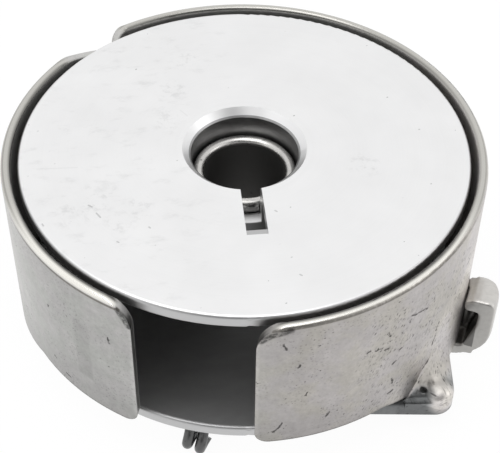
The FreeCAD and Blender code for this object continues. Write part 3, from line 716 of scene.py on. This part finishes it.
# %% Skin of the finger
SKIN_FROM, SKIN_TO, SKIN_COLUMNS, SKIN_ROWS = 311.6, 331.6, 80, 30
SKIN_ROOT, SKIN_HEM = 0.1, 0.3
points = []
for column in range(SKIN_COLUMNS + 1):
    turn = math.radians(SKIN_FROM + (SKIN_TO - SKIN_FROM) * column / SKIN_COLUMNS)
    outline = tongue_outline(turn) + SKIN
    start = CASE_RADIUS - SKIN_ROOT
    profile = []
    for row in range(SKIN_ROWS + 1):
        share = math.sin(0.5 * math.pi * row / SKIN_ROWS)
        reach = start + (outline - start) * share
        profile.append((reach, skin_height(turn, reach, outline - reach)))
    profile.append((outline, SKIN_HEM))
    profile.append((outline, SKIN))
    points.extend((reach * math.cos(turn), reach * math.sin(turn), height) for reach, height in profile)
stride = SKIN_ROWS + 3
faces = []
for column in range(SKIN_COLUMNS):
    for row in range(stride - 1):
        first = column * stride + row
        faces.append((first, first + 1, first + 1 + stride, first + stride))
mesh = bpy.data.meshes.new("finger_skin")
mesh.from_pydata([Vector(place) * MM for place in points], [], faces)
mesh.polygons.foreach_set("use_smooth", [True] * len(faces))
mesh.materials.append(case_finish)
finger_skin = bpy.data.objects.new("finger_skin", mesh)
bpy.context.scene.collection.objects.link(finger_skin)
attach(finger_skin, "case")
print("finger skin:", len(faces), "faces")

# %% [markdown]
# ## A lever with soft edges: the copy
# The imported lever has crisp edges, and its tab keeps a running gap to the wall. The real one is pressed
# from thick sheet, so its edges are round, its bend is fuller inside, and its tab rests on the wall. A
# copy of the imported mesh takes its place. Two small prisms are added to the copy, one in the bend and one
# along the closed side of the tab.

# %% Copy of the lever
SHEET = 1.2
TAB_END, TAB_BEND, TAB_HALF = 17.25, 18.34, 1.35
BEND_RUN, BEND_TOP, BEND_SINK = 0.95, 3.2, 0.1
WEB_INSIDE, WALL_TOUCH = 0.45, 17.06
WEB_LOW, WEB_TOP, WEB_SINK = 0.1, 4.7, 0.3
length_axis = Vector((math.cos(LATCH_AZIMUTH), math.sin(LATCH_AZIMUTH), 0.0))
cross_axis = Vector((-length_axis.y, length_axis.x, 0.0))
sheet_top = span("latch_lever")[0].z + SHEET


def add_prism(shape, outline, near, far):
    """Adds a prism with an outline of reach and height, from near to far across the latch."""
    ends = []
    for across in (near, far):
        corners = [length_axis * reach + cross_axis * across + Vector((0, 0, up)) for reach, up in outline]
        ends.append([shape.verts.new(corner * MM) for corner in corners])
    shape.faces.new(ends[0])
    shape.faces.new(reversed(ends[1]))
    for index in range(len(outline)):
        shape.faces.new((ends[0][index - 1], ends[1][index - 1], ends[1][index], ends[0][index]))


shape = bmesh.new()
shape.from_mesh(nodes["latch_lever"].data)
bmesh.ops.remove_doubles(shape, verts=shape.verts, dist=0.001 * MM)
foot, outer = sheet_top - BEND_SINK, TAB_BEND + BEND_SINK
bend = [(outer, BEND_TOP), (outer, foot), (TAB_BEND - BEND_RUN, foot)]
add_prism(shape, bend, -TAB_HALF + 0.02, TAB_HALF - 0.1)
inner = TAB_END + WEB_SINK
web = [(WALL_TOUCH, WEB_TOP), (inner, WEB_TOP), (inner, WEB_LOW), (WALL_TOUCH, WEB_LOW)]
add_prism(shape, web, WEB_INSIDE, TAB_HALF - 0.05)
mesh = bpy.data.meshes.new("flip_lever")
shape.to_mesh(mesh)
shape.free()
flip_lever = bpy.data.objects.new("flip_lever", mesh)
bpy.context.scene.collection.objects.link(flip_lever)
print("copy of the lever:", len(mesh.polygons), "faces")

# %% [markdown]
# ## A lever with soft edges: rounding
# The copy is rebuilt from small cubes, which joins the prisms to the sheet, and then smoothed, most of all
# at the tab. That rounds every edge. A flat face needs few triangles, so most of them are removed at the
# end.

# %% Lever
CUBE = 0.08
KEEP_FACES = 0.35
SMOOTH_ALL, SMOOTH_TAB, TAB_FROM = 2, 12, 16.4


def with_modifiers(thing):
    """A new mesh that has the modifiers of an object worked into it."""
    shown_thing = thing.evaluated_get(bpy.context.evaluated_depsgraph_get())
    return bpy.data.meshes.new_from_object(shown_thing)


cubes = flip_lever.modifiers.new("cubes", "REMESH")
cubes.mode = "VOXEL"
cubes.voxel_size = CUBE * MM
rebuilt = with_modifiers(flip_lever)
shape = bmesh.new()
shape.from_mesh(rebuilt)
all_points = list(shape.verts)
tab_points = [vertex for vertex in all_points if vertex.co.dot(length_axis) > TAB_FROM * MM]
for points, times in ((all_points, SMOOTH_ALL), (tab_points, SMOOTH_TAB)):
    for _ in range(times):
        bmesh.ops.smooth_vert(
            shape, verts=points, factor=0.5, use_axis_x=True, use_axis_y=True, use_axis_z=True)
shape.to_mesh(rebuilt)
shape.free()
flip_lever.modifiers.clear()
flip_lever.data = rebuilt
fewer = flip_lever.modifiers.new("fewer_faces", "DECIMATE")
fewer.ratio = KEEP_FACES
mesh = with_modifiers(flip_lever)
flip_lever.modifiers.clear()
flip_lever.data = mesh
mesh.polygons.foreach_set("use_smooth", [True] * len(mesh.polygons))
mesh.materials.clear()
mesh.materials.append(latch_finish)
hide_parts("latch_lever")
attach(flip_lever, "lever")
print("lever:", len(mesh.polygons), "faces")

# %% [markdown]
# ## The coil spring
# The latch's spring lies under the floor. It is wound here as a round wire along a helix, with its size
# taken from the imported one. When the lever draws the slide in, the slide presses the spring against a lug
# of the floor; the coil made here keeps one length and rides on the case.

# %% Coil spring
WIRE = 0.16
TURNS = 5
STEPS_PER_TURN = 32
WIRE_SIDES = 10
SPRING_START, SPRING_END = 7.7, 11.1
low, high = span("latch_spring")
middle = (low.z + high.z) / 2
coil_radius = (high.z - low.z - WIRE) / 2
points, faces = [], []
steps = TURNS * STEPS_PER_TURN
for step in range(steps + 1):
    wind = 2 * math.pi * step / STEPS_PER_TURN
    advance = SPRING_START + WIRE / 2 + (SPRING_END - SPRING_START - WIRE) * step / steps
    away = cross_axis * math.cos(wind) + Vector((0, 0, 1)) * math.sin(wind)
    centre = length_axis * advance + Vector((0, 0, middle)) + away * coil_radius
    for side in range(WIRE_SIDES):
        spin = 2 * math.pi * side / WIRE_SIDES
        points.append(centre + (away * math.cos(spin) + length_axis * math.sin(spin)) * WIRE / 2)
for step in range(steps):
    for side in range(WIRE_SIDES):
        here, after = step * WIRE_SIDES, (side + 1) % WIRE_SIDES
        faces.append((here + side, here + WIRE_SIDES + side, here + WIRE_SIDES + after, here + after))
faces.append(tuple(range(WIRE_SIDES)))
faces.append(tuple(reversed(range(steps * WIRE_SIDES, (steps + 1) * WIRE_SIDES))))
mesh = bpy.data.meshes.new("coil_spring")
mesh.from_pydata([point * MM for point in points], [], faces)
mesh.polygons.foreach_set("use_smooth", [True] * len(faces))
mesh.materials.append(spring_finish)
coil_spring = bpy.data.objects.new("coil_spring", mesh)
bpy.context.scene.collection.objects.link(coil_spring)
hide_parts("latch_spring")
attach(coil_spring, "case")
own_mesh(coil_spring)
print("coil:", len(faces), "faces, radius", round(coil_radius, 3))

# %% [markdown]
# ## Handing out the finishes
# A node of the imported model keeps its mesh, and only its material slots are filled again. The lever and
# the coil spring are missing here, since new pieces took their places.

# %% Dress the nodes
dress = {
    "case_cup": case_finish,
    "center_stud": stud_finish,
    "bobbin": spool_finish,
    "latch_slide": latch_finish,
    "latch_hinge_pin": latch_finish,
    "tension_spring": spring_finish,
    "tension_screw": screw_finish,
    "spring_fixing_screw": screw_finish,
    "thread_guide": wire_finish,
}
for name, material in dress.items():
    mesh = nodes[name].data
    mesh.materials.clear()
    mesh.materials.append(material)
    print(name, "gets", material.name)

# %% [markdown]
# ## The camera
# The photograph was taken from the front, looking down by about 45 degrees from only 10 cm away, so the
# perspective is strong. The place, the turn and the focal length come from fitting the rim, the flange
# and the bore to it.

# %% Camera
PICTURE_WIDTH = 500
FOCAL_PIXELS = 1288.237
CAMERA_PLACE = (0, -68.333, 74.553)
pan = math.radians(0.379)
tilt = math.radians(45.144)
roll = math.radians(0.778)
forward = Vector((math.sin(pan) * math.cos(tilt), math.cos(pan) * math.cos(tilt), -math.sin(tilt)))
level = forward.cross(Vector((0, 0, 1))).normalized()
upward = level.cross(forward)
right_axis = level * math.cos(roll) + upward * math.sin(roll)
up_axis = upward * math.cos(roll) - level * math.sin(roll)
turn = Matrix((right_axis, up_axis, -forward)).transposed().to_4x4()
lens = bpy.data.cameras.new("photo_camera")
lens.sensor_width = 36.0
lens.lens = FOCAL_PIXELS / PICTURE_WIDTH * lens.sensor_width
lens.clip_start = 0.001
camera = bpy.data.objects.new("photo_camera", lens)
bpy.context.scene.collection.objects.link(camera)
camera.matrix_world = Matrix.Translation(Vector(CAMERA_PLACE) * MM) @ turn
bpy.context.scene.camera = camera
print("lens", round(lens.lens, 2), "mm")

# %% [markdown]
# ## The world
# The case stands in a white studio. The world is white wherever it is seen or mirrored, and dimmer for
# the light it gives, so that pale surfaces don't burn out. One part of it, in front where a photographer
# would stand, is grey: metal edges that face it then draw the thin dark lines that make them look like
# metal.

# %% World
FRONT_HEIGHT = math.radians(40)
FRONT_DARKNESS = 0.78
ROOM_LIGHT = 0.55
world = bpy.data.worlds.new("white_studio")
bpy.context.scene.world = world
world.use_nodes = True
sky = Finish("", world.node_tree)
seen = sky.node("LightPath", output="Is Camera Ray")
mirrored = seen.other("Is Glossy Ray")
through = seen.other("Is Transmission Ray")
direction = sky.node("TexCoord", output="Generated")
towards = (0.0, -math.cos(FRONT_HEIGHT), math.sin(FRONT_HEIGHT))
facing = sky.vectors("DOT_PRODUCT", direction, towards, output="Value")
dark_front = sky.step(facing, 0.72, 0.93) * mirrored
shown = seen.largest(mirrored).largest(through)
strength = sky.step(shown, 0.0, 1.0, ROOM_LIGHT, 1.0) - FRONT_DARKNESS * dark_front
glow = sky.node("Background", None, {"Color": (1.0, 1.0, 1.0, 1.0), "Strength": strength})
sky.node("OutputWorld", None, {"Surface": glow})
print("world ready")

# %% [markdown]
# ## The floor
# A white sweep fills the picture. Lit paper alone would come out grey, and more light would burn out the
# metal, so the floor mixes its own white with plain paper: the white makes the background, and the paper
# keeps a soft shadow under the case. The latch lever is the lowest piece, and the floor lies just under
# it.

# %% Floor
FLOOR_GAP = 0.03 * MM
OWN_WHITE = 0.92
GLOW = 1.03
HALF_WIDTH = 0.6
mesh = bpy.data.meshes.new("sweep")
shape = bmesh.new()
bmesh.ops.create_grid(shape, x_segments=8, y_segments=8, size=HALF_WIDTH)
shape.to_mesh(mesh)
shape.free()
floor = bpy.data.objects.new("sweep", mesh)
floor.location.z = cad_box[0][2] - FLOOR_GAP
bpy.context.scene.collection.objects.link(floor)
sweep = Finish("white_sweep")
seen = sweep.node("LightPath", output="Is Camera Ray")
shown = seen.largest(seen.other("Is Glossy Ray")).largest(seen.other("Is Transmission Ray"))
paper = sweep.node("BsdfDiffuse", None, {"Color": (0.9, 0.9, 0.9, 1.0)})
white = sweep.node("Emission", None, {"Color": (1.0, 1.0, 1.0, 1.0), "Strength": GLOW})
both = sweep.node("MixShader", None, {0: shown * OWN_WHITE, 1: paper, 2: white})
sweep.node("OutputMaterial", None, {"Surface": both})
mesh.materials.append(sweep.material)
print("floor at", round(floor.location.z / MM, 2), "mm")

# %% [markdown]
# ## The lamps
# Two square soft lamps shape the metal. The upper one hangs in front of the case and not over its back:
# the flat flange would mirror a lamp behind it and burn out, while the rounded rim and edges still catch
# this one as a bright line. The other one is small and lights the latch from the side.

# %% Lamps
def softbox(name, place, aim, size, watts):
    """A square soft light at place, turned to aim."""
    data = bpy.data.lights.new(name, "AREA")
    data.shape = "SQUARE"
    data.size = size
    data.energy = watts
    lamp = bpy.data.objects.new(name, data)
    lamp.location = place
    lamp.rotation_mode = "QUATERNION"
    lamp.rotation_quaternion = (Vector(aim) - Vector(place)).to_track_quat("-Z", "Y")
    bpy.context.scene.collection.objects.link(lamp)
    return lamp


softbox("top_light", (-0.05, -0.07, 0.33), (0, 0, 0), 0.24, 0.36)
softbox("side_light", (0.30, -0.04, 0.16), (0, 0, 0.005), 0.14, 0.06)
print("lamps ready")

# %% [markdown]
# ## Closing the lesson
# The picture is shown with the Standard view, so that a colour comes out about as it was written.

# %% Picture settings
bpy.context.scene.view_settings.view_transform = "Standard"
